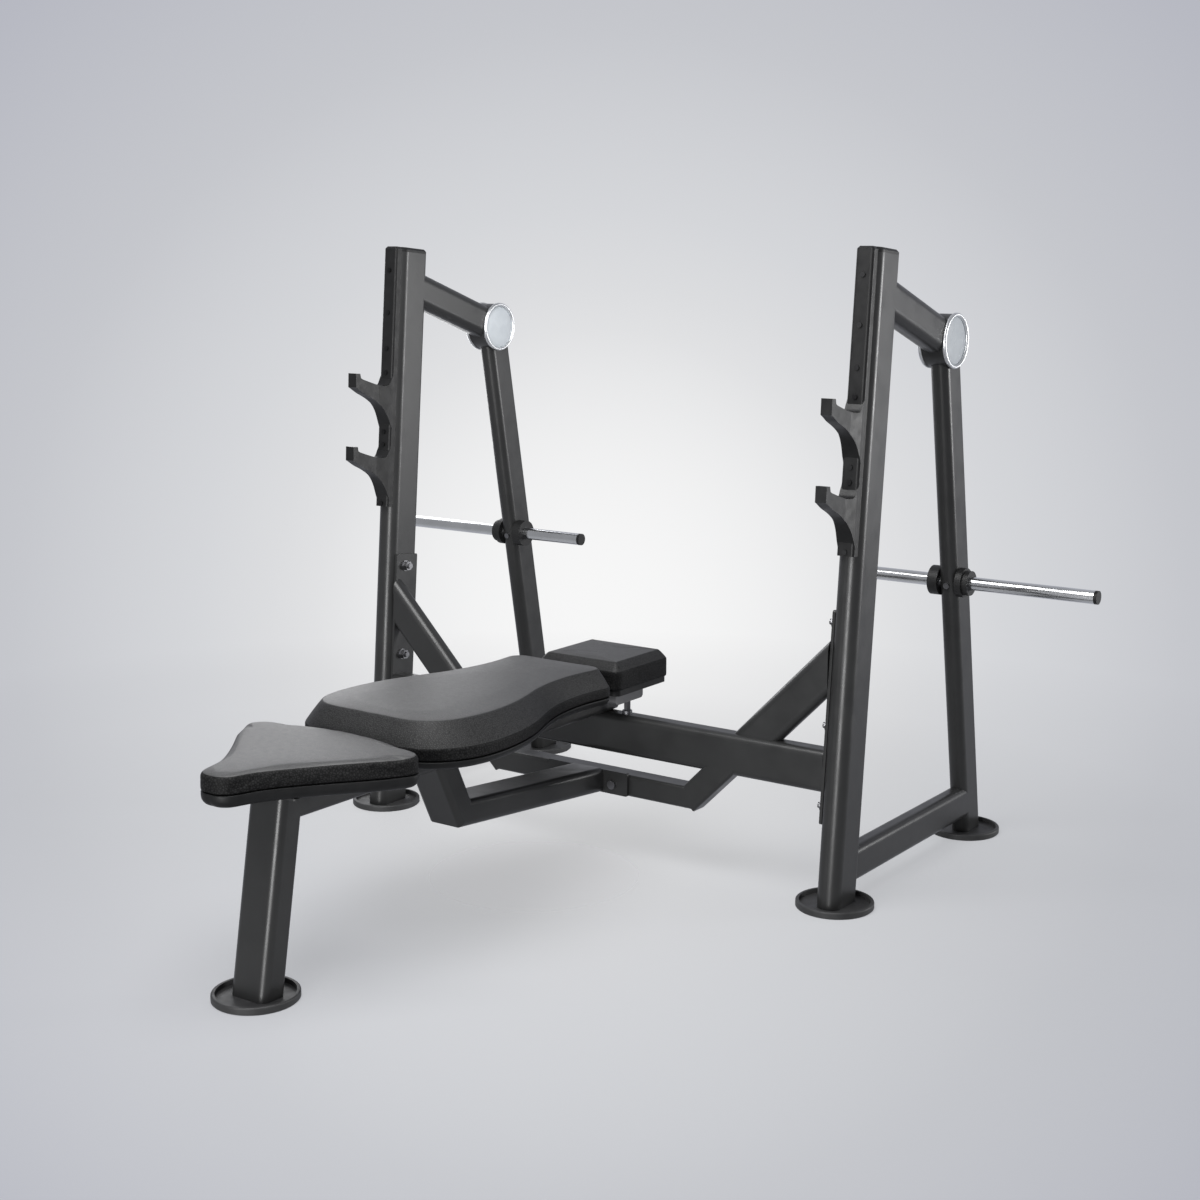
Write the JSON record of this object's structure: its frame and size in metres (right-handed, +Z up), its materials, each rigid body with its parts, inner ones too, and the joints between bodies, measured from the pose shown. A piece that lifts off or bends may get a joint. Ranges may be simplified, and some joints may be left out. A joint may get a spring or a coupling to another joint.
{
  "type": "olympic bench press",
  "caption": "Flat barbell bench with a shaped seat, back and head pad, joined to a braced rack that has bar hooks and storage horns.",
  "frame": {"origin": "on the floor, under the middle of the whole object, on its plane of symmetry", "axes": "+Z up, +Y from the seat end to the rack end, +X to the right of someone looking along +Y"},
  "size_m": [1.824, 1.7347, 1.2715],
  "materials": {
    "frame_paint": "dark charcoal powder coat, satin",
    "grey_paint": "mid grey satin paint",
    "black_plastic": "black moulded plastic, fine texture",
    "foot_rubber": "dark moulded rubber",
    "collar_rubber": "black rubber",
    "bright_steel": "polished plated steel",
    "ring_aluminium": "bright turned aluminium",
    "pale_plastic": "pale blue-white disc",
    "zinc_fastener": "dull zinc",
    "pad_cover": "near-black upholstery vinyl, fine grain",
    "pad_shell": "black moulded shell"
  },
  "bodies": {
    "root": {"back_cushion": "pad_cover", "back_shell": "pad_shell", "bench_joint_bolts": "zinc_fastener", "bench_joint_plate": "frame_paint", "bracket_bar": "frame_paint", "catch_screws": "zinc_fastener", "cross_beam": "frame_paint", "drop_tube": "frame_paint", "front_foot": "foot_rubber", "front_leg": "frame_paint", "head_bars": "grey_paint", "head_board": "pad_shell", "head_cushion": "pad_cover", "head_studs": "zinc_fastener", "horn_collars": "collar_rubber", "horn_end_caps": "black_plastic", "horn_set_screws": "zinc_fastener", "left_bar_catch": "black_plastic", "left_bracket_leg": "frame_paint", "left_diagonal_brace": "frame_paint", "left_hub_discs": "pale_plastic", "left_hub_drum": "frame_paint", "left_hub_rings": "ring_aluminium", "left_joint_plate": "frame_paint", "left_rear_foot": "foot_rubber", "left_rear_leg": "frame_paint", "left_side_brace": "frame_paint", "left_storage_horn": "bright_steel", "left_top_arm": "frame_paint", "left_top_cap": "black_plastic", "left_upright": "frame_paint", "left_upright_foot": "foot_rubber", "lower_beam": "frame_paint", "pad_plates": "frame_paint", "pad_screws": "zinc_fastener", "plate_nuts": "zinc_fastener", "plate_studs": "zinc_fastener", "plate_washers": "zinc_fastener", "right_bar_catch": "black_plastic", "right_bracket_leg": "frame_paint", "right_diagonal_brace": "frame_paint", "right_hub_discs": "pale_plastic", "right_hub_drum": "frame_paint", "right_hub_rings": "ring_aluminium", "right_joint_plate": "frame_paint", "right_rear_foot": "foot_rubber", "right_rear_leg": "frame_paint", "right_side_brace": "frame_paint", "right_storage_horn": "bright_steel", "right_top_arm": "frame_paint", "right_top_cap": "black_plastic", "right_upright": "frame_paint", "right_upright_foot": "foot_rubber", "seat_cushion": "pad_cover", "seat_shell": "pad_shell", "upper_beam": "frame_paint"}
  },
  "joints": []
}
